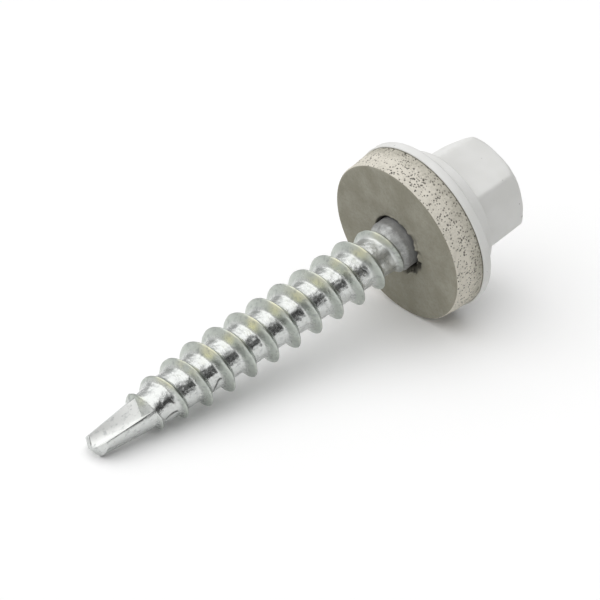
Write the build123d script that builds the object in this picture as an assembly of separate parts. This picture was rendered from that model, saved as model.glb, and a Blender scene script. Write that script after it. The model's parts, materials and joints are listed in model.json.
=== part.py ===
from build123d import *
from math import atan2, ceil, cos, degrees, radians, sin, tan
import os

# Hex washer head self-drilling screw with a bonded sealing washer, lying as it comes to
# rest: on the front rim of its seal and on its drill point. Millimetres and degrees.
#
# Screw, seal and plate are first made about the screw's own axis, which is Z: the apex of
# the drill point is at z = 0 and the head is up. lying() then puts them on the floor.

# ---- Shank ----------------------------------------------------------------------------
length_under_head = 34.55  # apex of the point to the underside of the flange
shank_diameter = 4.2       # plain shank, under the head
shank_length = 4.1         # plain shank, from the flange down to the shoulder
shoulder_length = 0.7      # cone between the thread's root and the plain shank

# ---- Thread: coarse, rolled, right-hand, one start ------------------------------------
thread_diameter = 4.9
root_diameter = 3.36
pitch = 2.2
thread_angle = 60.0        # between the two flanks of the ridge
thread_start = 4.6         # apex to the first trace of the ridge
run_in = 6.0               # length over which the ridge climbs to its full height
run_out = 3.3              # length over which it sinks into the shoulder
start_radius = 1.55        # crest radius where the ridge starts
end_radius = 2.06          # crest radius where it ends
crest_phase = 208.5        # direction of the crest at the level of the apex
ridge_embed = 0.55         # how far the ridge reaches inside the root

# ---- Drill point: pinched from the blank, two straight flutes -------------------------
point_angle = 120.0        # included angle of the cutting end
point_length = 5.5         # apex to the end of the pinched stretch
point_width = 1.74         # across the pinched sides, at the cutting end
point_depth = 3.2          # across the cutting margins, at the cutting end
point_end_width = 2.76     # the same two at the end of the pinched stretch
point_end_depth = 3.44
point_blend = 1.7          # length over which the pinched section turns round again
point_runout = 0.1         # forged points sit a little to one side of the axis
flute_length = 4.9         # apex to the foot of the flute's end wall
flute_end_slope = 62.0     # of the end wall, from the axis
flute_skew = 14.0          # the end wall leans up the screw, away from the cutting wall
web_at_tip = 0.44          # thickness of steel left between the two flute floors
web_at_end = 0.8
rake_offset = 0.12         # cutting wall, beyond the plane through the axis
rake_angle = 6.0           # lean of the cutting wall

# ---- Head -----------------------------------------------------------------------------
flange_diameter = 10.56
flange_thickness = 1.7
flange_bevel = 0.25
hex_across_flats = 8.15    # at the foot; the hex is drawn in towards its top
hex_height = 4.6
hex_draft = 2.6
hex_corner_round = 0.45
hex_crown_diameter = 7.4   # flat top of the hex, inside the crown
hex_crown_angle = 33.0     # slope of the crown that takes off the six top corners
hex_foot_fillet = 0.45
hex_turn = -21.8           # direction of one flat, from the way the first flute faces
top_recess_diameter = 4.6  # shallow dimple left by the heading punch
top_recess_depth = 0.35
top_recess_wall = 45.0

# ---- Bonded washer: steel plate and rubber seal ---------------------------------------
plate_diameter = 14.0
plate_thickness = 0.87
plate_bore_clearance = 0.1  # on the radius, round the plain shank
plate_rim_bevel = 0.2
seal_setback = 0.11        # of the seal's back edge from the plate's rim, on the radius
seal_taper = 0.17          # narrowing of the seal from its back to its face, on the radius
seal_thickness = 2.56
seal_rim_bevel = 0.13
seal_bore_clearance = 0.1  # on the radius, round the plain shank
seal_mouth_clearance = 0.15  # on the radius, of the bore's mouth round the thread
seal_mouth_depth = 0.4
washer_play = 0.03         # between the plate and the flange it turns under

# ---- Lie ------------------------------------------------------------------------------
roll = 46.2                # turn of the first flute from straight up, as the screw lies

# ---- Levels and radii that follow -----------------------------------------------------
root_radius = root_diameter / 2
shank_radius = shank_diameter / 2
plate_top = length_under_head - washer_play
plate_foot = plate_top - plate_thickness
seal_face = plate_foot - seal_thickness
shoulder_top = length_under_head - shank_length
shoulder_foot = shoulder_top - shoulder_length
flange_top = length_under_head + flange_thickness
head_top = flange_top + hex_height
plate_bore_radius = shank_radius + plate_bore_clearance
seal_bore_radius = shank_radius + seal_bore_clearance
seal_mouth_radius = thread_diameter / 2 + seal_mouth_clearance
seal_back_radius = plate_diameter / 2 - seal_setback
seal_face_radius = seal_back_radius - seal_taper


def turned(*corners):
    """Solid of revolution about Z, from (radius, z) corners."""
    outline = Polyline(*[(radius, 0, z) for radius, z in corners], close=True)
    return revolve(make_face(outline), Axis.Z)


def oval(width, depth, z, shift):
    """Pinched section: depth along X, width along Y, its centre shifted along Y."""
    return Pos(0, shift, z) * Ellipse(depth / 2, width / 2)


def point_blank():
    """Pinched end of the wire: oval, widening up the point, then round at the root."""
    width_taper = (point_end_width - point_width) / point_length
    depth_taper = (point_end_depth - point_depth) / point_length
    below = 0.5
    pinched = loft([
        oval(point_width - width_taper * below, point_depth - depth_taper * below,
             -below, point_runout),
        oval(point_end_width, point_end_depth, point_length, point_runout),
    ])
    rounding = loft([
        oval(point_end_width, point_end_depth, point_length, point_runout),
        oval(root_diameter, root_diameter, point_length + point_blend, 0),
    ])
    reach = point_length + point_blend
    cone = turned((0, 0), (reach * tan(radians(point_angle / 2)), reach), (0, reach))
    return (pinched + rounding) & cone


def flute():
    """Cutter for one flute: flat floor that climbs away from the axis, a sloped and skewed
    end wall, and a nearly radial cutting wall along the floor's +Y side."""
    reach = point_end_depth
    floor_rise = (web_at_end - web_at_tip) / 2 / flute_length
    start = -1.0
    end_run = (reach - web_at_end / 2) / tan(radians(flute_end_slope))
    side = Polyline(
        (web_at_tip / 2 + floor_rise * start, 0, start),
        (web_at_end / 2, 0, flute_length),
        (reach, 0, flute_length + end_run),
        (reach, 0, start),
        close=True,
    )
    cutter = extrude(make_face(side), reach, dir=(0, -1, tan(radians(flute_skew))))
    wall = Pos(0, rake_offset + point_runout, 0) * Rot(0, 0, rake_angle)
    return wall * cutter


def helical_rail(start, end, turns):
    """Helix about Z from one (radius, z) to another, on a cylinder or a cone."""
    rise = end[1] - start[1]
    cone = atan2(end[0] - start[0], rise)
    return Edge.make_helix(
        rise / turns / cos(cone), rise, start[0], center=(0, 0, start[1]), angle=degrees(cone))


def ridge_section(z, crest):
    """Corners (radius, z) of the ridge's V section: lower foot, crest, upper foot."""
    inner = root_radius - ridge_embed
    half_foot = (crest - inner) * tan(radians(thread_angle / 2))
    return [(inner, z - half_foot), (crest, z), (inner, z + half_foot)]


def ridge_stretch(start, end):
    """The three ruled sides of the ridge between two (z, crest radius) stations."""
    turns = (end[0] - start[0]) / pitch
    corners = zip(ridge_section(*start), ridge_section(*end))
    rails = [helical_rail(low, high, turns) for low, high in corners]
    sides = [Face.make_surface_from_curves(rails[i - 1], rails[i]) for i in range(3)]
    return [Rot(0, 0, 360 * (start[0] - thread_start) / pitch) * side for side in sides]


def ridge_cap(z, crest):
    """Flat end of the ridge at one station."""
    cap = make_face(Polyline(*[(r, 0, level) for r, level in ridge_section(z, crest)], close=True))
    return Rot(0, 0, 360 * (z - thread_start) / pitch) * cap


def ridge_stations():
    """(z, crest radius) along the ridge, no more than a turn apart: it climbs out of the
    root, runs at full height and sinks into the shoulder."""
    end = shoulder_foot + shoulder_length / 2
    bends = [
        (thread_start, start_radius),
        (thread_start + run_in, thread_diameter / 2),
        (end - run_out, thread_diameter / 2),
        (end, end_radius),
    ]
    stations = bends[:1]
    for (z, crest), (next_z, next_crest) in zip(bends, bends[1:]):
        steps = ceil((next_z - z) / pitch)
        for step in range(1, steps + 1):
            part = step / steps
            stations.append((z + (next_z - z) * part, crest + (next_crest - crest) * part))
    return stations


def thread_ridge():
    """Helical ridge as one closed solid, its foot sunk into the root."""
    stations = ridge_stations()
    faces = [ridge_cap(*stations[0]).faces()[0], ridge_cap(*stations[-1]).faces()[0]]
    for start, end in zip(stations, stations[1:]):
        faces += ridge_stretch(start, end)
    return Rot(0, 0, crest_phase + 360 * thread_start / pitch) * Solid(Shell(faces))


def shank():
    """Root cylinder, shoulder and plain shank, up into the head."""
    foot = point_length + point_blend
    return turned(
        (0, foot), (root_radius, foot), (root_radius, shoulder_foot),
        (shank_radius, shoulder_top), (shank_radius, length_under_head + flange_thickness / 2),
        (0, length_under_head + flange_thickness / 2),
    )


def crown():
    """Turned envelope of the hex: its cone takes off the six corners round the flat top."""
    flat_radius = hex_crown_diameter / 2
    reach = hex_across_flats
    fall = (reach - flat_radius) * tan(radians(hex_crown_angle))
    return turned(
        (0, head_top), (flat_radius, head_top), (reach, head_top - fall),
        (reach, flange_top - 1), (0, flange_top - 1))


def head():
    """Flange and hex in one, with the punch's dimple on top."""
    flange = Pos(0, 0, length_under_head) * Cylinder(
        flange_diameter / 2, flange_thickness, align=(Align.CENTER, Align.CENTER, Align.MIN))
    flange = chamfer(flange.edges().group_by(Axis.Z)[-1], flange_bevel)
    base = Pos(0, 0, flange_top) * RegularPolygon(
        hex_across_flats / 2, 6, major_radius=False, rotation=30)
    hexagon = extrude(base, hex_height, taper=hex_draft)
    corners = hexagon.edges().filter_by(lambda edge: abs(edge.tangent_at(0.5).Z) > 0.5)
    hexagon = fillet(corners, hex_corner_round) & crown()
    body = flange + Rot(0, 0, hex_turn) * hexagon
    foot = body.edges().filter_by_position(Axis.Z, flange_top, flange_top).filter_by(
        lambda edge: edge.length < hex_across_flats)
    body = fillet(foot, hex_foot_fillet)
    dimple_radius = top_recess_diameter / 2
    floor_radius = dimple_radius - top_recess_depth / tan(radians(top_recess_wall))
    dimple = turned(
        (0, head_top - top_recess_depth), (floor_radius, head_top - top_recess_depth),
        (dimple_radius, head_top), (dimple_radius, head_top + 1), (0, head_top + 1))
    return body - dimple


def screw():
    """The whole screw: one forging, rolled and pointed."""
    body = point_blank() + shank() + thread_ridge()
    body = body - flute() - Rot(0, 0, 180) * flute()
    return body + head()


def washer_plate():
    """Steel disc with a bevelled top rim."""
    return turned(
        (plate_bore_radius, plate_foot), (plate_diameter / 2, plate_foot),
        (plate_diameter / 2, plate_top - plate_rim_bevel),
        (plate_diameter / 2 - plate_rim_bevel, plate_top), (plate_bore_radius, plate_top))


def seal_rim():
    """Corners (radius, z) of the bevel between the seal's face and its side."""
    return [(seal_face_radius - seal_rim_bevel, seal_face),
            (seal_face_radius, seal_face + seal_rim_bevel)]


def epdm_seal():
    """Rubber ring bonded under the plate, a little wider at the plate, with a flared bore."""
    return turned(
        (seal_mouth_radius, seal_face), *seal_rim(), (seal_back_radius, plate_foot),
        (seal_bore_radius, plate_foot), (seal_bore_radius, seal_face + seal_mouth_depth))


def resting_tilt(body):
    """Tilt of the axis at which the point and the seal's rim reach down equally far."""
    tip = [vertex.center() for vertex in body.vertices() if vertex.Z < point_length / 2]

    def point_above_rim(tilt):
        tip_level = min(spot.X * cos(tilt) + spot.Z * sin(tilt) for spot in tip)
        rim_level = min(z * sin(tilt) - radius * cos(tilt) for radius, z in seal_rim())
        return tip_level - rim_level

    low, high = 0.0, radians(45)
    for _ in range(50):
        middle = (low + high) / 2
        if point_above_rim(middle) > 0:
            low = middle
        else:
            high = middle
    return (low + high) / 2


def lying(solids, tilt):
    """The solids laid down with the head towards +X, standing on z = 0, centred in X."""
    frame = Plane(origin=(0, 0, 0), x_dir=(-sin(tilt), 0, cos(tilt)), z_dir=(cos(tilt), 0, sin(tilt)))
    laid = [frame.location * solid for solid in solids]
    boxes = [solid.bounding_box() for solid in laid]
    middle_x = (min(box.min.X for box in boxes) + max(box.max.X for box in boxes)) / 2
    middle_y = (min(box.min.Y for box in boxes) + max(box.max.Y for box in boxes)) / 2
    floor = min(box.min.Z for box in boxes)
    shift = Pos(-middle_x, -middle_y, -floor)
    return [shift * solid for solid in laid], shift.position


def build():
    rolled = Rot(0, 0, roll) * screw()
    tilt = resting_tilt(rolled)
    solids, shift = lying([rolled, washer_plate(), epdm_seal()], tilt)
    os.makedirs("parts", exist_ok=True)
    for name, solid in zip(("screw", "washer_plate", "epdm_seal"), solids):
        export_step(solid, f"parts/{name}.step")
    print(f"tilt {degrees(tilt):.3f} deg, apex at {tuple(round(c, 4) for c in shift)}")


if __name__ == "__main__":
    build()
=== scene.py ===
import json
from math import ceil, cos, radians, sin, tan

import bmesh
import bpy
import numpy as np
from mathutils import Matrix, Vector


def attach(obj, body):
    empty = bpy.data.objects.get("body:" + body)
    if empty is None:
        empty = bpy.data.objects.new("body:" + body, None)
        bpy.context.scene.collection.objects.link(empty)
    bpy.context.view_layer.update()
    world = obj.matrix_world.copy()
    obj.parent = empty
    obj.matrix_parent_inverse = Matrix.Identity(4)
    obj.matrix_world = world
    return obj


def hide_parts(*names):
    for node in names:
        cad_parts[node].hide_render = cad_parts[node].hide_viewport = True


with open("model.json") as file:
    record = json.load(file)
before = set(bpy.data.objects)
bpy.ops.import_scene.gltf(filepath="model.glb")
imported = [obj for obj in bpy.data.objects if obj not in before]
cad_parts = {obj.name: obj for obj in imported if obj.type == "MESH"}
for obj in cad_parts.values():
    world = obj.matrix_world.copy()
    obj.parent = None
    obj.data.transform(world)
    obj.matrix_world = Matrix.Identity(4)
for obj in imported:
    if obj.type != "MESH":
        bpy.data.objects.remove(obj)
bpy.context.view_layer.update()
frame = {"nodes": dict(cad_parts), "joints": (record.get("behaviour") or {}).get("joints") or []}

# Hex washer head self-drilling screw with a bonded sealing washer. Sizes are millimetres,
# angles degrees. "level" is the distance up the screw's axis from the apex of its point.
# A pair of levels given to smooth_step runs from where its effect is nil to where it is full.

MM = 0.001

# ---- Screw's own axis -----------------------------------------------------------------
# The washer's hinge lies on the axis, at the level of the seal's face. Angles round the
# axis start at the direction that leans up from the floor and turn towards -Y.
SEAL_FACE_LEVEL = 31.09
HINGE = frame["joints"][0]
AXIS = np.array(HINGE["axis"], float)
AXIS /= np.linalg.norm(AXIS)
APEX_MM = np.array(HINGE["pos_m"], float) / MM - AXIS * SEAL_FACE_LEVEL
UPWARD = np.array([-AXIS[2], 0.0, AXIS[0]])
SIDEWAYS = np.array([0.0, -1.0, 0.0])
ROLL = 46.2                      # direction of the first flute, from upward

# ---- Thread and shank -----------------------------------------------------------------
ROOT_RADIUS = 1.68
THREAD_RADIUS = 2.45
SHANK_RADIUS = 2.1
PITCH = 2.2
CREST_PHASE = 208.5 + ROLL       # direction of the crest at the level of the apex
FLANK_SLOPE = 1.732              # radial fall per axial length of a 60 degree V
CREST_SOFTNESS = 0.085
ROOT_SOFTNESS = 0.11             # of the hollow between flank and root
ROOT_GAP = 1.2                   # about how far the flanks' lines pass under the root
FLANK_GAIN = 2.2                 # the flank field is full at 1 / 2.2 of the ridge's height
# (level, radius) of the crest, and of the core above the pinched stretch
RIDGE_CLIMB = ((4.4, 1.2), (5.0, 1.62), (5.9, 1.88), (8.1, 2.15), (10.6, THREAD_RADIUS),
               (26.8, THREAD_RADIUS), (30.1, 2.06), (30.5, 1.9))
CORE_STEPS = ((7.2, ROOT_RADIUS), (29.75, ROOT_RADIUS), (30.45, SHANK_RADIUS),
              (34.7, SHANK_RADIUS))
RIDGE_END_LEVELS = (30.0, 30.5)  # the ridge sinks by 1 mm over these
START_LAG = 0.5                  # the ridge's first trace lies this much above its helix
START_LAG_LEVELS = (5.3, 4.6)    # levels of that helix
POINT_CUT_LEVEL = 5.5            # the drill point's piece ends here
THREAD_FOOT_LEVEL = 4.75
SHANK_TOP_LEVEL = 34.6
TUCK = 0.03                      # the thread's piece is this much thinner inside the point's
TUCK_LEVELS = (5.51, 5.46)

# ---- Pinched stretch behind the drill point: half depth and half width ----------------
PINCH_TIP = (1.6, 0.87)
PINCH_END = (1.72, 1.38)
PINCH_END_LEVEL = 5.5
PINCH_BLEND_LEVEL = 7.2
PINCH_SHIFT = 0.1                # of its middle, across the flutes
FLUTE_END_LEVEL = 4.85
FLUTE_END_FLOOR = 0.4            # flute floor to axis, at the foot of its end wall
FLUTE_END_LEAST = 0.3            # the same, at its least
FLUTE_END_RISE = 3.0             # of the end wall, per length along the axis
FLUTE_END_SKEW = 0.5
FLUTE_END_SOFTNESS = 0.5
FLUTE_END_REACH = 6.8            # the wall is soft only below this level
FLUTE_END_FAR = 5.0              # a wall at this radius or more is left out

# ---- Head -----------------------------------------------------------------------------
FLANGE_FOOT = 34.55
FLANGE_TOP = 36.25
HEAD_TOP = 40.85
FLANGE_RADIUS = 5.28
FLANGE_FOOT_ROUND = 0.12
FLANGE_ROUND = 0.2
HEX_ACROSS_FLATS = 8.15
HEX_DRAFT = 2.6
HEX_TURN = -21.8 + ROLL
HEX_CORNER_POWER = 46.0          # a higher power makes a sharper corner
FOOT_FILLET = 0.45
CROWN_FLAT_RADIUS = 3.93
CROWN_ANGLE = 38.0
CROWN_POWER = 40.0
DIMPLE_RADIUS = 2.3
DIMPLE_WALL = 0.45
DIMPLE_DEPTH = 0.35
HEAD_COLUMNS = 420
HEX_ROWS = 74
CROWN_TOP_ROWS = 40

# ---- Washer ---------------------------------------------------------------------------
BORE_RADIUS = 2.2
PLATE_FOOT = 33.65
PLATE_TOP = 34.52
PLATE_RADIUS = 7.0
PLATE_TOP_ROUND = 0.3
PLATE_FOOT_ROUND = 0.1
PLATE_COLUMNS = 360
SEAL_THICKNESS = PLATE_FOOT - SEAL_FACE_LEVEL
SEAL_BACK_RADIUS = 6.89
SEAL_FACE_RADIUS = 6.72
SEAL_RIM_ROUND = 0.22
SEAL_MOUTH_RADIUS = 2.38
SEAL_MOUTH_DEPTH = 0.3
SEAL_COLUMNS = 560
SEAL_SIDE_ROWS = 58
SEAL_FACE_ROWS = 62

# ---- Camera ---------------------------------------------------------------------------
CAMERA_AIM_MM = (0.579, 0.301, 5.105)
CAMERA_DISTANCE_MM = 344.4
CAMERA_HEADING = 42.223          # degrees from +Y towards +X, the way the camera looks
CAMERA_ELEVATION = 30.816        # degrees above the floor
CAMERA_ROLL = 0.626
CAMERA_LENS_MM = 274.5
SENSOR_MM = 36.0


# =======================================================================================
# Surfaces
# =======================================================================================
def lying(level, radius, angle):
    """Point at a level and radius on the screw, in metres: apex + level along the axis +
    radius turned by the angle from upward towards sideways."""
    level, radius, angle = np.broadcast_arrays(level, radius, angle)
    turn = np.radians(angle)[..., None]
    place = APEX_MM + level[..., None] * AXIS
    place = place + radius[..., None] * (np.cos(turn) * UPWARD + np.sin(turn) * SIDEWAYS)
    return place * MM


def read_off(points):
    """Level, radius and angle of points in metres, the reverse of lying."""
    away = points.reshape(-1, 3) / MM - APEX_MM
    upward, sideways = away @ UPWARD, away @ SIDEWAYS
    return away @ AXIS, np.hypot(upward, sideways), np.degrees(np.arctan2(sideways, upward))


def turned_from(angle, middle):
    """Angle from a middle direction, -180 to 180."""
    return (angle - middle + 180) % 360 - 180


def bell(value, width):
    """Gauss curve, 1 at 0."""
    return np.exp(-(value / width) ** 2)


def smooth_step(low, high, value):
    """0 before low, 1 past high, an S curve between. low may be the greater one."""
    part = np.clip((value - low) / (high - low), 0, 1)
    return part * part * (3 - 2 * part)


def soft_max(first, second, softness):
    """The greater of two values, with the corner between them rounded."""
    return (first + second + np.hypot(first - second, softness)) / 2


def soft_min(first, second, softness):
    """The lesser of two values, with the corner between them rounded."""
    return (first + second - np.hypot(first - second, softness)) / 2


def ripple(place, wavelength, seed, waves=28):
    """Smooth noise of about -1 to 1: a sum of sine waves of one length in millimetres, each
    in its own random direction through space."""
    chance = np.random.default_rng(seed)
    ways = chance.normal(size=(waves, 3))
    ways *= 2 * np.pi / wavelength / np.linalg.norm(ways, axis=1, keepdims=True)
    phases = chance.uniform(0, 2 * np.pi, waves)
    flat = place.reshape(-1, 3) / MM
    height = np.sin(flat @ ways.T + phases).sum(axis=1) / waves ** 0.5
    return height.reshape(place.shape[:-1])


def ring_quads(rows, columns, closed_rows=False):
    """Corner numbers of the quads of a grid whose columns run round and close."""
    row_ends = rows if closed_rows else rows - 1
    row = np.arange(row_ends)[:, None]
    column = np.arange(columns)[None, :]
    right = (column + 1) % columns
    above = (row + 1) % rows
    corners = [row * columns + column, row * columns + right,
               above * columns + right, above * columns + column]
    return np.stack(corners, axis=-1).reshape(-1, 4)


def arc(centre, radius, start, end, steps):
    """(radius, level) points on a round corner, start and end in degrees from outward."""
    turn = np.radians(np.linspace(start, end, steps))
    return np.stack([centre[0] + radius * np.cos(turn), centre[1] + radius * np.sin(turn)], axis=1)


def run(start, end, steps):
    """(radius, level) points on a straight stretch, its two ends left to its neighbours."""
    part = np.linspace(0, 1, steps + 2)[1:-1, None]
    return (1 - part) * np.array(start) + part * np.array(end)


def add_field(mesh, name, domain, values):
    """Keeps a value on each point or face, for the material to read."""
    layer = mesh.attributes.new(name, "FLOAT", domain)
    layer.data.foreach_set("value", np.asarray(values, np.float32).ravel())


def piece(name, points, quads, material, body, slot, node_name, **fields):
    """Closed mesh from grid points in metres and quads. Poles and seams are merged, faces
    turned outwards, and each field is kept as a value on the points."""
    points = points.reshape(-1, 3)
    mesh = bpy.data.meshes.new(name)
    mesh.vertices.add(len(points))
    mesh.vertices.foreach_set("co", points.astype(np.float32).ravel())
    mesh.loops.add(quads.size)
    mesh.loops.foreach_set("vertex_index", quads.astype(np.int32).ravel())
    mesh.polygons.add(len(quads))
    mesh.polygons.foreach_set("loop_start", np.arange(0, quads.size, 4, dtype=np.int32))
    mesh.update(calc_edges=True)
    for field, values in fields.items():
        add_field(mesh, field, "POINT", values)
    tidy = bmesh.new()
    tidy.from_mesh(mesh)
    bmesh.ops.remove_doubles(tidy, verts=tidy.verts, dist=0.0005 * MM)
    loose = [vertex for vertex in tidy.verts if not vertex.link_faces]
    bmesh.ops.delete(tidy, geom=loose, context="VERTS")
    bmesh.ops.recalc_face_normals(tidy, faces=tidy.faces)
    tidy.to_mesh(mesh)
    tidy.free()
    mesh.shade_smooth()
    return keep(name, mesh, material, body, node_name)


def keep(name, mesh, material, body, node_name):
    """Puts a finished mesh into the scene as a piece that rides on a body and stands for a
    node."""
    made = bpy.data.objects.new(name, mesh)
    bpy.context.scene.collection.objects.link(made)
    mesh.materials.clear()
    mesh.materials.append(material)
    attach(made, body)
    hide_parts(node_name)
    return made


# =======================================================================================
# Materials
# =======================================================================================
def linear(hex_colour):
    """sRGB hex string to the linear RGBA that a node's colour takes."""
    channels = [int(hex_colour[i:i + 2], 16) / 255 for i in (1, 3, 5)]
    return [c / 12.92 if c <= 0.04045 else ((c + 0.055) / 1.055) ** 2.4 for c in channels] + [1.0]


def node(tree, kind, inputs, output=0, **settings):
    """Adds a node and gives one of its outputs. settings are the node's own properties.
    inputs holds, by an input's name or number, a value, a hex colour or another node's
    output."""
    made = tree.nodes.new(kind)
    for name, value in settings.items():
        setattr(made, name, value)
    for place, value in inputs.items():
        if isinstance(value, bpy.types.NodeSocket):
            tree.links.new(value, made.inputs[place])
        elif isinstance(value, str):
            made.inputs[place].default_value = linear(value)
        else:
            made.inputs[place].default_value = value
    return made.outputs[output]


def new_material(name):
    """Empty material: its tree, its shader, and coordinates in millimetres on the screw's
    own axis, Z up the axis."""
    material = bpy.data.materials.new(name)
    material.use_nodes = True
    tree = material.node_tree
    own = Matrix([UPWARD, SIDEWAYS, AXIS]).transposed().to_euler()
    place = node(tree, "ShaderNodeMapping", {
        "Vector": node(tree, "ShaderNodeTexCoord", {}, "Object"),
        "Location": APEX_MM * MM, "Rotation": own, "Scale": (MM, MM, MM)},
        vector_type="TEXTURE")
    return material, tree, tree.nodes["Principled BSDF"], place


def coated(tree, colour, coats):
    """Colour with coats laid over it in turn, each given by its cover, 0 to 1, and its own
    hex colour."""
    for cover, coat in coats:
        colour = node(tree, "ShaderNodeMix", {0: cover, 6: colour, 7: coat}, 2,
                      data_type="RGBA")
    return colour


def summed(tree, start, shares):
    """Value with shares of other values added to it in turn, each value with its factor."""
    for value, factor in shares:
        start = node(tree, "ShaderNodeMath", {0: value, 1: factor, 2: start},
                     operation="MULTIPLY_ADD")
    return start


def finish_with(tree, shader, colour, roughness, normal):
    """Feeds colour, roughness and normal to the shader."""
    tree.links.new(colour, shader.inputs["Base Color"])
    tree.links.new(roughness, shader.inputs["Roughness"])
    tree.links.new(normal, shader.inputs["Normal"])


# Lumps of each pattern to a millimetre
ZINC_PATCHES = 2.6
ZINC_FLAKES = 3.2
PAINT_CLOUDS = 0.35
PAINT_PEEL = 2.2
PAINT_SPECKS = 2.7
RUBBER_CLOUDS = 0.45
RUBBER_GRAIN = 5.0
RUBBER_CELLS = 5.2

# Depth of each bump, millimetres
FLAKE_DEPTH = 0.045
PEEL_DEPTH = 0.006
GRAIN_DEPTH = 0.03

DUST_LEVELS = (30.4, 31.6)       # paint dust on the shank, from nil to full
WORN_LEVELS = (25.0, 29.5)       # the zinc grows rougher over these


def zinc_plated_steel():
    """Carbon steel, thread rolled, then barrel plated with zinc and passivated. Bright and
    mirror-like where the rolls pressed it, flaky in the roots, satin on the flanks with a
    thin green-yellow passivation tint, laid strongest along one side as a painted highlight,
    lighter and evenly satin in the flutes, painted dark as shade in the laps' creases and
    just behind the crest, and dulled by paint dust towards the head."""
    material, tree, shader, place = new_material("zinc_plated_steel")
    level = node(tree, "ShaderNodeSeparateXYZ", {"Vector": place}, 2)
    flank, flute, lap, film, edge = [
        node(tree, "ShaderNodeAttribute", {}, "Fac", attribute_name=name)
        for name in ("flank", "flute", "lap", "film", "edge")]
    patch = node(tree, "ShaderNodeTexNoise", {
        "Vector": node(tree, "ShaderNodeMapping", {"Vector": place, "Scale": (1, 1, 0.6)}),
        "Scale": ZINC_PATCHES, "Detail": 5.0, "Roughness": 0.65})
    flakes = node(tree, "ShaderNodeTexNoise", {
        "Vector": node(tree, "ShaderNodeMapping", {"Vector": place, "Scale": (1, 1, 2.4)}),
        "Scale": ZINC_FLAKES, "Detail": 6.0, "Roughness": 0.62})
    dust = node(tree, "ShaderNodeMapRange", {
        "Value": summed(tree, level, [(patch, 2.0)]),
        "From Min": DUST_LEVELS[0], "From Max": DUST_LEVELS[1]})

    dull_patch = node(tree, "ShaderNodeMapRange", {
        "Value": patch, "From Min": 0.52, "From Max": 0.72, "To Max": 0.55})
    # Of these coats, the yellow on the flanks is partly the passivation's tint and partly a
    # painted highlight, the dark line behind the crest is painted shade, and the near black of the
    # laps is painted shade in their creases.
    colour = coated(tree, "#d2d4d2", [
        (summed(tree, 0.0, [(flank, 0.8)]), "#bcc2ba"), (film, "#dbdac0"), (flute, "#f4f5f3"),
        (dull_patch, "#858a8a"), (edge, "#5f6461"), (dust, "#8f8f8e"), (lap, "#15171a")])

    rolled = node(tree, "ShaderNodeMapRange", {
        "Value": patch, "From Min": 0.3, "From Max": 0.7, "To Min": 0.16, "To Max": 0.32})
    worn = node(tree, "ShaderNodeMapRange", {
        "Value": level, "From Min": WORN_LEVELS[0], "From Max": WORN_LEVELS[1], "To Max": 0.14})
    roughness = summed(tree, rolled, [(worn, 1.0), (flank, 0.08), (flute, 0.34), (dust, 0.25)])
    tree.links.new(summed(tree, 1.0, [(dust, -0.75), (lap, -0.9)]), shader.inputs["Metallic"])

    smooth = node(tree, "ShaderNodeMath", {
        0: summed(tree, 0.0, [(flank, 0.5)]), 1: summed(tree, 0.0, [(flute, 0.7)])},
        operation="MAXIMUM")
    normal = node(tree, "ShaderNodeBump", {
        "Height": flakes, "Distance": FLAKE_DEPTH * MM,
        "Strength": summed(tree, 0.75, [(smooth, -0.75)])})
    finish_with(tree, shader, colour, roughness, normal)
    return material


def grey_white_paint(name):
    """Polyester paint sprayed over the zinc on head and plate. A soft satin coat with round
    edges, a faint orange peel, and a few dust specks caught in it."""
    material, tree, shader, place = new_material(name)
    cloud = node(tree, "ShaderNodeTexNoise", {
        "Vector": place, "Scale": PAINT_CLOUDS, "Detail": 2.0, "Roughness": 0.55})
    peel = node(tree, "ShaderNodeTexNoise", {
        "Vector": place, "Scale": PAINT_PEEL, "Detail": 2.0, "Roughness": 0.55})
    speck = node(tree, "ShaderNodeTexNoise", {
        "Vector": place, "Scale": PAINT_SPECKS, "Detail": 1.0, "Roughness": 0.3})
    greyer = node(tree, "ShaderNodeMapRange", {
        "Value": cloud, "From Min": 0.35, "From Max": 0.65})
    specked = node(tree, "ShaderNodeMapRange", {
        "Value": speck, "From Min": 0.785, "From Max": 0.80, "To Max": 0.55})
    colour = coated(tree, "#e6e6e4", [(greyer, "#dfdfdc"), (specked, "#6d6a64")])
    roughness = node(tree, "ShaderNodeMapRange", {
        "Value": peel, "From Min": 0.3, "From Max": 0.7, "To Min": 0.42, "To Max": 0.5})
    normal = node(tree, "ShaderNodeBump", {
        "Height": peel, "Distance": PEEL_DEPTH * MM, "Strength": 0.5})
    finish_with(tree, shader, colour, roughness, normal)
    shader.inputs["Specular IOR Level"].default_value = 0.4
    return material


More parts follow.
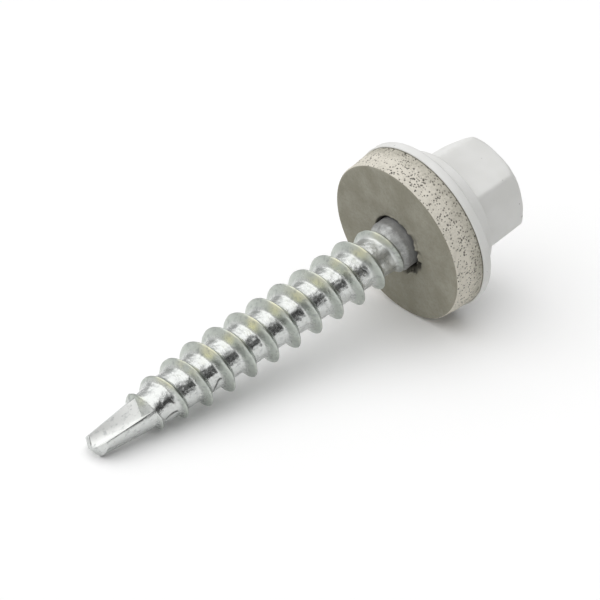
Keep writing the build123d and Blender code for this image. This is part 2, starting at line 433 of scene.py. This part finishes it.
def epdm_rubber():
    """Moulded EPDM foam-faced rubber, khaki grey and matt, with a faint mottle. Its side
    caught the paint spray: cream white, left open over the pores. The pores are dark, bare
    rubber darkened further as painted shade inside them. The same dark is painted as shade
    inside the hole's mouth, and along the joint under the plate as bare rubber and shade.
    Pores too fine for the mesh are round dots in Voronoi cells, each as large as the chance
    value of its cell allows."""
    material, tree, shader, place = new_material("epdm_rubber")
    cloud = node(tree, "ShaderNodeTexNoise", {
        "Vector": place, "Scale": RUBBER_CLOUDS, "Detail": 3.0, "Roughness": 0.55})
    grain = node(tree, "ShaderNodeTexNoise", {
        "Vector": place, "Scale": RUBBER_GRAIN, "Detail": 4.0, "Roughness": 0.7})
    spray, pore = [node(tree, "ShaderNodeAttribute", {}, "Fac", attribute_name=name)
                   for name in ("spray", "pore")]

    lighter = node(tree, "ShaderNodeMapRange", {
        "Value": cloud, "From Min": 0.38, "From Max": 0.62})
    darker_grain = node(tree, "ShaderNodeMapRange", {
        "Value": grain, "From Min": 0.45, "From Max": 0.75, "To Max": 0.5})
    uneven = node(tree, "ShaderNodeMapRange", {
        "Value": grain, "From Min": 0.35, "From Max": 0.65, "To Min": -0.22, "To Max": 0.1})
    sprayed = node(tree, "ShaderNodeMapRange", {
        "Value": summed(tree, uneven, [(spray, 1.0)]), "From Min": 0.1, "From Max": 0.9})

    to_middle = node(tree, "ShaderNodeTexVoronoi", {"Vector": place, "Scale": RUBBER_CELLS},
                     "Distance")
    chance = node(tree, "ShaderNodeSeparateColor", {0: to_middle.node.outputs["Color"]})
    inside_dot = node(tree, "ShaderNodeMapRange", {
        "Value": summed(tree, 0.0, [(chance, 0.42), (to_middle, -1.0)]),
        "From Min": -0.03, "From Max": 0.04})
    fine_pore = summed(tree, 0.0, [(inside_dot, summed(tree, 0.0, [(spray, 0.9)]))])
    any_pore = node(tree, "ShaderNodeMath", {0: pore, 1: fine_pore}, operation="MAXIMUM")
    # The dark coat: in the pores and along the plate joint, bare rubber darkened as painted shade;
    # inside the mouth, painted shade.
    colour = coated(tree, "#918e80", [
        (lighter, "#a09d90"), (darker_grain, "#807d6e"), (sprayed, "#dcd7cb"),
        (any_pore, "#3a3833")])

    roughness = node(tree, "ShaderNodeMapRange", {
        "Value": grain, "From Min": 0.3, "From Max": 0.7, "To Min": 0.72, "To Max": 0.88})
    normal = node(tree, "ShaderNodeBump", {
        "Height": grain, "Distance": GRAIN_DEPTH * MM, "Strength": 0.5})
    finish_with(tree, shader, colour, roughness, normal)
    shader.inputs["Specular IOR Level"].default_value = 0.3
    return material


# =======================================================================================
# Screw
# =======================================================================================
LAP_MARKS = (
    # level, angle round the screw, length along the axis, lean, curve
    (6.75, 99.0, 1.1, -0.2, 0.75), (11.25, 95.0, 0.8, -0.95, 1.5), (26.55, 61.0, 0.35, 0.45, 0.0),
)
LAP_WIDTH = 0.085
LAP_DEPTH = 0.05
LAP_FADE = (0.58, 0.42)          # of its length, from its middle to its end
FILM_HIGHLIGHT_ANGLE = 20.0                # the passivation's yellow is strongest along this side, where the flanks catch the overhead light: a real tint, laid there as a painted highlight
FILM_HIGHLIGHT_SPREAD = 20.0
CREST_SHADE_OFFSET = 0.09               # painted shade: a dark line behind the crest, from the crest towards the head
CREST_SHADE_WIDTH = 0.05
CREST_SHADE_SHARE = 0.75
ROLLED_WAVES = ((0.012, 0.9, 11), (0.006, 0.35, 12))     # height, wavelength, seed
ROLLED_LEVELS = (34.0, 31.0)
THREAD_COLUMNS = 180
THREAD_ROWS_PER_PITCH = 40
CAP_REACH = 0.12                 # length over which an end cap closes to the axis


def pinched_radius(level, angle):
    """Radius of the pinched wire: the far root of the ray's equation with an ellipse whose
    two halves grow along the point and then meet the round root."""
    up_point = np.clip(level / PINCH_END_LEVEL, 0, 1)
    round_off = np.clip((level - PINCH_END_LEVEL) / (PINCH_BLEND_LEVEL - PINCH_END_LEVEL), 0, 1)
    depth, width = [low + (high - low) * up_point for low, high in zip(PINCH_TIP, PINCH_END)]
    depth = depth + (ROOT_RADIUS - depth) * round_off
    width = width + (ROOT_RADIUS - width) * round_off
    shift = PINCH_SHIFT * (1 - round_off)
    own = np.radians(angle - ROLL)
    square = (np.cos(own) / depth) ** 2 + (np.sin(own) / width) ** 2
    slope = np.sin(own) * shift / width ** 2
    return (slope + np.sqrt(slope ** 2 + square * (1 - (shift / width) ** 2))) / square


def flute_end_radius(level, angle):
    """Radius at which a ray leaves the steel through the nearer flute's end wall, a plane
    that rises from the flute's floor and is skewed to one side."""
    own = np.radians((angle - ROLL + 90) % 180 - 90)
    rise = FLUTE_END_FLOOR + FLUTE_END_RISE * (level - FLUTE_END_LEVEL)
    facing = np.cos(own) - FLUTE_END_SKEW * np.sin(own)
    least = 0.05
    return np.where(facing > least, rise.clip(FLUTE_END_LEAST) / facing.clip(least), FLUTE_END_FAR)


def thread_form(level, angle):
    """Radius of the thread, how far up a flank it is, 0 to 1, and the distance along the axis
    from the crest's helix. The ridge is a V with a round crest, crest - slope * sqrt(t^2 +
    c^2) for that distance t, and a soft maximum joins it to the core."""
    crest = np.interp(level, *zip(*RIDGE_CLIMB))
    core = np.interp(level, *zip(*CORE_STEPS))
    core = np.where(level < PINCH_BLEND_LEVEL, pinched_radius(level, angle), core)
    off = (level - PITCH * (angle - CREST_PHASE) / 360 + PITCH / 2) % PITCH - PITCH / 2
    off = off - START_LAG * smooth_step(*START_LAG_LEVELS, level - off)
    ridge = crest - FLANK_SLOPE * (np.hypot(off, CREST_SOFTNESS) - CREST_SOFTNESS)
    ridge = ridge - smooth_step(*RIDGE_END_LEVELS, level)
    radius = soft_max(ridge, core, ROOT_SOFTNESS) - soft_max(-ROOT_GAP, 0.0, ROOT_SOFTNESS)
    flank = np.clip((radius - core) / (THREAD_RADIUS - ROOT_RADIUS) * FLANK_GAIN, 0, 1)
    wall = flute_end_radius(level, angle)
    cut = soft_min(radius, wall, FLUTE_END_SOFTNESS * (level < FLUTE_END_REACH))
    return np.where(wall < FLUTE_END_FAR, cut, radius), flank, off


def lap_field(level, angle, radius):
    """1 along each lap mark, a short crease left where the rolls folded the steel over. Its
    line is lean * s + curve * s^2 round the screw, for the share s of its length."""
    mark = np.zeros_like(level)
    for at_level, at_angle, length, lean, curve in LAP_MARKS:
        along = (level - at_level) / length
        round_it = np.radians(turned_from(angle, at_angle)) * radius
        across = round_it - lean * along - curve * along ** 2
        across = across / np.hypot(1, (lean + 2 * curve * along) / length)
        mark = np.maximum(mark, bell(across, LAP_WIDTH) * smooth_step(*LAP_FADE, np.abs(along)))
    return mark


def screw_thread(material):
    """Thread and plain shank. The grid's rows are helices of the thread's own pitch, so a
    row runs along the crest, and each row's end joins the row one pitch higher. Past both
    ends the rows close to the axis in flat caps."""
    columns, per_pitch = THREAD_COLUMNS, THREAD_ROWS_PER_PITCH
    step = PITCH / per_pitch
    spare = PITCH + 2 * CAP_REACH
    rows = int((SHANK_TOP_LEVEL - THREAD_FOOT_LEVEL + 2 * spare) / step) + 2
    row = np.arange(rows)[:, None]
    column = np.arange(columns)[None, :]
    angle = CREST_PHASE + 360.0 * column / columns + 0 * row
    start = THREAD_FOOT_LEVEL // PITCH * PITCH - (ceil(spare / step) + 1) * step
    free_level = start + step * row + PITCH * column / columns
    level = np.clip(free_level, THREAD_FOOT_LEVEL, SHANK_TOP_LEVEL)
    radius, flank, off = thread_form(level, angle)
    # The laps are creases cut into the steel; the material paints them near black as shade in the
    # creases.
    lap = lap_field(level, angle, radius)
    surface = lying(level, radius, angle)

    rolled = sum(height * ripple(surface, length, seed) for height, length, seed in ROLLED_WAVES)
    radius = radius + rolled * (1 - 0.5 * flank) * smooth_step(*ROLLED_LEVELS, level)
    radius = radius - lap * LAP_DEPTH - TUCK * smooth_step(*TUCK_LEVELS, level) * (1 - flank)
    radius = radius * np.clip(1 - np.abs(free_level - level) / CAP_REACH, 0, 1)

    number = np.arange(rows * columns).reshape(rows, columns)
    right = np.roll(number, -1, axis=1)
    right[:, -1] = np.minimum(np.arange(rows) + per_pitch, rows - 1) * columns
    usable = rows - per_pitch - 1
    quads = np.stack([number[:-1], right[:-1], right[1:], number[1:]], axis=-1)[:usable]

    # Painted shade: a thin dark line just behind the crest, on the side towards the head.
    edge = CREST_SHADE_SHARE * bell(off - CREST_SHADE_OFFSET, CREST_SHADE_WIDTH) * smooth_step(0.5, 0.9, flank)
    # Yellow along one side of the flanks: the passivation's own tint, placed and brightened there
    # as a painted highlight.
    film = flank * bell(turned_from(angle, FILM_HIGHLIGHT_ANGLE), FILM_HIGHLIGHT_SPREAD)
    film = np.clip(film * (0.75 + 0.5 * ripple(surface, 1.3, 13)), 0, 1)
    return piece("screw_thread", lying(level, radius, angle), quads.reshape(-1, 4), material,
                 "screw", "zinc_plated_steel", "screw", flank=flank, lap=lap, film=film,
                 edge=edge)


FLUTE_DEPTH = 0.12               # a face this far inside the wire belongs to a flute
POINT_CONE_LEVEL = 1.1           # below it such a face belongs to the cone of the point
EDGE_ANGLE = 32.0                # edges sharper than this stay sharp and are eased
EASED_EDGE = 0.035


def screw_point(material):
    """Drill point: the solid's own form below the cut level, its loose triangles merged, cut
    square to the axis and closed there, and held inside the pinched wire's radius, because
    the thread's own piece has the ridge's first trace."""
    mesh = frame["nodes"]["screw"].data.copy()
    mesh.name = "screw_point"
    cut = bmesh.new()
    cut.from_mesh(mesh)
    bmesh.ops.remove_doubles(cut, verts=cut.verts, dist=0.001 * MM)
    parts = list(cut.verts) + list(cut.edges) + list(cut.faces)
    bmesh.ops.bisect_plane(cut, geom=parts, plane_co=(APEX_MM + POINT_CUT_LEVEL * AXIS) * MM,
                           plane_no=AXIS, clear_outer=True)
    rim = [edge for edge in cut.edges if edge.is_boundary]
    bmesh.ops.holes_fill(cut, edges=rim)
    bmesh.ops.dissolve_limit(cut, angle_limit=radians(1.0), verts=cut.verts, edges=cut.edges)
    bmesh.ops.triangulate(cut, faces=[face for face in cut.faces if len(face.verts) > 4])
    bmesh.ops.recalc_face_normals(cut, faces=cut.faces)
    cut.to_mesh(mesh)
    cut.free()

    points = np.empty(len(mesh.vertices) * 3, np.float32)
    mesh.vertices.foreach_get("co", points)
    level, radius, angle = read_off(points)
    within = np.minimum(radius, pinched_radius(level, angle))
    mesh.vertices.foreach_set("co", lying(level, within, angle).astype(np.float32).ravel())
    mesh.update()

    centres = np.empty(len(mesh.polygons) * 3, np.float32)
    mesh.polygons.foreach_get("center", centres)
    level, radius, angle = read_off(centres)
    in_flute = (radius < pinched_radius(level, angle) - FLUTE_DEPTH) & (level > POINT_CONE_LEVEL)
    add_field(mesh, "flute", "FACE", in_flute)
    mesh.shade_smooth()
    mesh.set_sharp_from_angle(angle=radians(EDGE_ANGLE))
    made = keep("screw_point", mesh, material, "screw", "screw")
    eased = made.modifiers.new("eased_edges", "BEVEL")
    eased.width = EASED_EDGE * MM
    eased.segments = 2
    eased.limit_method = "ANGLE"
    eased.angle_limit = radians(EDGE_ANGLE)
    eased.harden_normals = True
    return made


def hex_radius(angle, level):
    """Radius of the drawn-in hexagon: its half width over a high-power mean of the cosines to
    its six flats, which rounds the corners."""
    half = HEX_ACROSS_FLATS / 2 - (level - FLANGE_TOP) * tan(radians(HEX_DRAFT))
    flats = HEX_TURN + 60.0 * np.arange(6)
    facing = np.cos(np.radians(angle[..., None] - flats)).clip(0.01)
    return half * (facing ** HEX_CORNER_POWER).sum(axis=-1) ** (-1 / HEX_CORNER_POWER)


def screw_head(material):
    """Flange and hex. Rows run from the middle of the flange's underside out and up its rim,
    in over its top, up the hex with a hollow at its foot, over the crown, and down into the
    dimple to the axis. The crown is a cone joined to the hex by a soft minimum of radii."""
    angle = np.linspace(0, 360, HEAD_COLUMNS, endpoint=False)[None, :]
    foot_centre = (FLANGE_RADIUS - FLANGE_FOOT_ROUND, FLANGE_FOOT + FLANGE_FOOT_ROUND)
    top_centre = (FLANGE_RADIUS - FLANGE_ROUND, FLANGE_TOP - FLANGE_ROUND)
    outline = np.concatenate([
        [(0.0, FLANGE_FOOT)],
        run((0, FLANGE_FOOT), (foot_centre[0], FLANGE_FOOT), 6),
        arc(foot_centre, FLANGE_FOOT_ROUND, -90, 0, 6),
        run((FLANGE_RADIUS, foot_centre[1]), (FLANGE_RADIUS, top_centre[1]), 12),
        arc(top_centre, FLANGE_ROUND, 0, 90, 8),
    ])
    rim_radius, rim_level = outline[:, :1] + 0 * angle, outline[:, 1:] + 0 * angle

    turn = np.radians(np.linspace(0, 90, 12))[:, None]
    fillet_level = FLANGE_TOP + FOOT_FILLET * (1 - np.cos(turn)) + 0 * angle
    fillet_radius = hex_radius(angle + 0 * turn, fillet_level) + FOOT_FILLET * (1 - np.sin(turn))
    fillet_radius = np.minimum(fillet_radius, FLANGE_RADIUS - FLANGE_ROUND)

    side_level = np.linspace(FLANGE_TOP + FOOT_FILLET, HEAD_TOP, HEX_ROWS)[1:, None] + 0 * angle
    crown_radius = CROWN_FLAT_RADIUS + (HEAD_TOP - side_level) / tan(radians(CROWN_ANGLE))
    side_radius = hex_radius(angle + 0 * side_level, side_level)
    side_radius = side_radius ** -CROWN_POWER + crown_radius ** -CROWN_POWER
    side_radius = side_radius ** (-1 / CROWN_POWER)

    top_radius = side_radius[-1:] * np.linspace(1, 0, CROWN_TOP_ROWS)[1:, None]
    dimple = smooth_step(DIMPLE_RADIUS, DIMPLE_RADIUS - DIMPLE_WALL, top_radius)
    top_level = HEAD_TOP - DIMPLE_DEPTH * dimple

    radius = np.concatenate([rim_radius, fillet_radius, side_radius, top_radius])
    level = np.concatenate([rim_level, fillet_level, side_level, top_level])
    points = lying(level, radius, angle)
    return piece("screw_head", points, ring_quads(len(radius), HEAD_COLUMNS), material,
                 "screw", "painted_steel", "screw")


# =======================================================================================
# Washer
# =======================================================================================
def washer_plate(material):
    """Steel disc turned from one outline, its rims rounded by punching and paint."""
    foot_centre = (PLATE_RADIUS - PLATE_FOOT_ROUND, PLATE_FOOT + PLATE_FOOT_ROUND)
    top_centre = (PLATE_RADIUS - PLATE_TOP_ROUND, PLATE_TOP - PLATE_TOP_ROUND)
    outline = np.concatenate([
        run((BORE_RADIUS, PLATE_FOOT), (foot_centre[0], PLATE_FOOT), 8),
        arc(foot_centre, PLATE_FOOT_ROUND, -90, 0, 6),
        arc(top_centre, PLATE_TOP_ROUND, 0, 90, 14),
        run((top_centre[0], PLATE_TOP), (BORE_RADIUS, PLATE_TOP), 14),
        [(BORE_RADIUS, PLATE_TOP), (BORE_RADIUS, PLATE_FOOT)],
    ])
    angle = np.linspace(0, 360, PLATE_COLUMNS, endpoint=False)[None, :]
    points = lying(outline[:, 1:], outline[:, :1], angle)
    return piece("plate_disc", points, ring_quads(len(outline), PLATE_COLUMNS, True), material,
                 "washer", "painted_steel", "washer_plate")


PORE_COUNT = 620
PORE_RADII = (0.04, 0.085)
PORE_DEPTH = 0.07
PORE_FADE = (1.25, 0.7)          # of its radius
SIDE_WAVE = 0.018                # unevenness of the side and of the face
FACE_WAVE = 0.012
SPRAYED_RIM_ROWS = 5             # rows of the front rim's round that the spray reaches
PLATE_LINE = (0.045, 0.01)       # dark joint under the plate, share of the seal's thickness: bare rubber and painted shade
FLASH_ANGLE = 118.0              # direction of the ragged side of the seal's mouth
FLASH_SPREAD = 62.0
FLASH_REACH = 0.34               # how far from the mouth's edge the rubber is ragged
FLASH_HEIGHT = 0.17
FLASH_OPENING = 0.16             # the mouth is this much wider there
MOUTH_WAVE = 0.03                # unevenness of the rest of the mouth's edge


def pore_field(level, angle):
    """1 inside each of the seal side's pores, on the side unrolled flat. Pores crowd towards
    the plate and are strewn by a seeded chance."""
    chance = np.random.default_rng(5)
    at_angle = chance.uniform(0, 360, PORE_COUNT)
    at_level = PLATE_FOOT - SEAL_THICKNESS * chance.beta(1.1, 1.9, PORE_COUNT)
    least, most = PORE_RADII
    size = least + (most - least) * chance.beta(1.2, 3.0, PORE_COUNT)
    mark = np.zeros(level.shape, np.float32)
    for row in range(level.shape[0]):
        near = np.abs(at_level - level[row, 0]) < 0.2
        turn = turned_from(angle[0][:, None], at_angle[near])
        reach = np.hypot(np.radians(turn) * SEAL_BACK_RADIUS, level[row, 0] - at_level[near])
        mark[row] = smooth_step(*PORE_FADE, reach / size[near]).max(axis=1)
    return mark


def epdm_seal(material):
    """Rubber ring bonded under the plate. One outline turned round the axis: bore, back, side
    with its pores, round front rim, face, and the bore's flared and ragged mouth."""
    rim_centre = (SEAL_FACE_RADIUS - SEAL_RIM_ROUND, SEAL_FACE_LEVEL + SEAL_RIM_ROUND)
    side_top, side_foot = (SEAL_BACK_RADIUS, PLATE_FOOT), (SEAL_FACE_RADIUS, rim_centre[1])
    bore_top = (BORE_RADIUS, PLATE_FOOT)
    flare_top = (BORE_RADIUS, SEAL_FACE_LEVEL + SEAL_MOUTH_DEPTH)
    mouth_edge = (SEAL_MOUTH_RADIUS, SEAL_FACE_LEVEL)
    stretches = [
        run(flare_top, bore_top, 6),
        [bore_top],
        run(bore_top, side_top, 6),
        [side_top],
        run(side_top, side_foot, SEAL_SIDE_ROWS),
        arc(rim_centre, SEAL_RIM_ROUND, 0, -90, 9),
        run((rim_centre[0], SEAL_FACE_LEVEL), mouth_edge, SEAL_FACE_ROWS),
        [mouth_edge],
        run(mouth_edge, flare_top, 10),
    ]
    outline = np.concatenate([np.asarray(stretch, float) for stretch in stretches])
    rows = len(outline)
    angle = np.linspace(0, 360, SEAL_COLUMNS, endpoint=False)[None, :] + np.zeros((rows, 1))
    radius = outline[:, :1] + 0 * angle
    level = outline[:, 1:] + 0 * angle
    surface = lying(level, radius, angle)
    first_side = sum(len(stretch) for stretch in stretches[:4])
    side = slice(first_side, first_side + SEAL_SIDE_ROWS)

    pore = np.zeros_like(radius)
    pore[side] = pore_field(level[side], angle[side])
    radius -= pore * PORE_DEPTH
    radius[side] += SIDE_WAVE * ripple(surface[side], 1.1, 21)
    front = (level < SEAL_FACE_LEVEL + 0.05) & (radius > SEAL_MOUTH_RADIUS - 0.01)
    level += front * FACE_WAVE * (1 + ripple(surface, 2.4, 22))

    near_mouth = bell(radius - SEAL_MOUTH_RADIUS, FLASH_REACH) * (level < SEAL_FACE_LEVEL + 0.5)
    ragged = bell(turned_from(angle, FLASH_ANGLE), FLASH_SPREAD)
    tatter = ripple(surface, 0.9, 23) + 0.6 * ripple(surface, 0.45, 24)
    level += near_mouth * tatter * (ragged * FLASH_HEIGHT + MOUTH_WAVE)
    radius += near_mouth * ragged * (FLASH_OPENING + 0.09 * ripple(surface, 0.6, 25))

    on_side = np.zeros_like(radius)
    on_side[first_side:side.stop + SPRAYED_RIM_ROWS] = 1.0
    from_plate = (PLATE_FOOT - level) / SEAL_THICKNESS
    spray = 0.5 + 0.42 * smooth_step(0.05, 0.6, from_plate) + 0.06 * ripple(surface, 1.6, 26)
    spray = on_side * spray * smooth_step(0.0, 0.06, from_plate)
    # Painted shade: dark inside the hole and in the dips of the ragged rubber round the mouth.
    inner = smooth_step(SEAL_MOUTH_RADIUS + 0.02, SEAL_MOUTH_RADIUS - 0.1, radius)
    mouth_shade = np.maximum(near_mouth * ragged * smooth_step(-1.3, -0.2, tatter), inner)
    # Dark line along the joint under the plate: bare rubber, darkened as painted shade.
    plate_line = on_side * smooth_step(*PLATE_LINE, from_plate)
    pore = np.maximum(np.maximum(pore, mouth_shade * 0.95), plate_line * 0.8).clip(0, 1)
    return piece("seal_ring", lying(level, radius, angle), ring_quads(rows, SEAL_COLUMNS, True),
                 material, "washer", "epdm_rubber", "epdm_seal", spray=spray, pore=pore)


zinc = zinc_plated_steel()
paint = grey_white_paint("painted_steel")
screw_point(zinc)
screw_thread(zinc)
screw_head(paint)
washer_plate(paint)
epdm_seal(epdm_rubber())


# =======================================================================================
# Floor, light, camera
# =======================================================================================
FLOOR_SIZE = 4.0                 # metres
FLOOR_GAIN = 1.02                # what the camera sees of the floor, so that it is white
BOX_WAY = (-0.16, 0.12, 0.98)    # middle of the soft box
BOX_EDGE = (0.58, 0.74)          # cosines to that way over which the box begins
BOX_BRIGHT = 1.5
LEFT_WAY = (-0.8, 0.6, 0.0)      # to the left of the camera
WALL_BRIGHT = (0.14, 0.74)       # walls to the right and to the left
DARK_WAY = (0.42, -0.86, 0.28)   # unlit corner of the room, to the right of the camera
DARK_EDGE = (0.86, 0.97)
DARK_SHARE = 0.1


def pale_floor():
    """White paper, matt, lying flat. Camera and reflections see it lifted to white, with the
    object's shadow kept."""
    bpy.ops.mesh.primitive_plane_add(size=FLOOR_SIZE)
    floor = bpy.context.object
    floor.name = "floor"
    material = bpy.data.materials.new("white_paper")
    material.use_nodes = True
    tree = material.node_tree
    tree.nodes.remove(tree.nodes["Principled BSDF"])
    by_camera = node(tree, "ShaderNodeLightPath", {}, "Is Camera Ray")
    by_gloss = by_camera.node.outputs["Is Glossy Ray"]
    seen = node(tree, "ShaderNodeMath", {0: by_camera, 1: by_gloss}, operation="MAXIMUM")
    colour = node(tree, "ShaderNodeMix", {
        0: seen, 6: "#f1f1f0", 7: (FLOOR_GAIN, FLOOR_GAIN, FLOOR_GAIN, 1.0)}, 2,
        data_type="RGBA")
    matt = node(tree, "ShaderNodeBsdfDiffuse", {"Color": colour})
    tree.links.new(matt, tree.nodes["Material Output"].inputs["Surface"])
    floor.data.materials.append(material)


def studio():
    """Large soft box overhead, dim walls, and one dark corner for metal to show."""
    world = bpy.data.worlds.new("studio")
    bpy.context.scene.world = world
    world.use_nodes = True
    tree = world.node_tree
    way = node(tree, "ShaderNodeTexCoord", {}, "Generated")
    to_box, to_left, to_dark = [
        node(tree, "ShaderNodeVectorMath", {0: way, 1: middle}, "Value", operation="DOT_PRODUCT")
        for middle in (BOX_WAY, LEFT_WAY, DARK_WAY)]
    box, wall, corner = [
        node(tree, "ShaderNodeMapRange", {
            "Value": value, "From Min": low, "From Max": high,
            "To Min": to_low, "To Max": to_high})
        for value, (low, high), (to_low, to_high) in (
            (to_box, BOX_EDGE, (0.0, 1.0)), (to_left, (-1.0, 1.0), WALL_BRIGHT),
            (to_dark, DARK_EDGE, (1.0, DARK_SHARE)))]
    beside_box = summed(tree, 1.0, [(box, -1.0)])
    lit = summed(tree, 0.0, [(box, BOX_BRIGHT), (wall, beside_box)])
    strength = summed(tree, 0.0, [(lit, corner)])
    background = tree.nodes["Background"]
    tree.links.new(strength, background.inputs["Strength"])
    background.inputs["Color"].default_value = (1, 1, 1, 1)


def add_camera():
    heading, lift = radians(CAMERA_HEADING), radians(CAMERA_ELEVATION)
    look = Vector((sin(heading) * cos(lift), cos(heading) * cos(lift), -sin(lift)))
    data = bpy.data.cameras.new("camera")
    data.lens = CAMERA_LENS_MM
    data.sensor_width = SENSOR_MM
    data.clip_start = 0.01
    camera = bpy.data.objects.new("camera", data)
    bpy.context.scene.collection.objects.link(camera)
    camera.location = (Vector(CAMERA_AIM_MM) - look * CAMERA_DISTANCE_MM) * MM
    roll = Matrix.Rotation(radians(CAMERA_ROLL), 3, "Z")
    camera.rotation_euler = (look.to_track_quat("-Z", "Y").to_matrix() @ roll).to_euler()
    bpy.context.scene.camera = camera


pale_floor()
studio()
add_camera()
bpy.context.scene.view_settings.view_transform = "Standard"
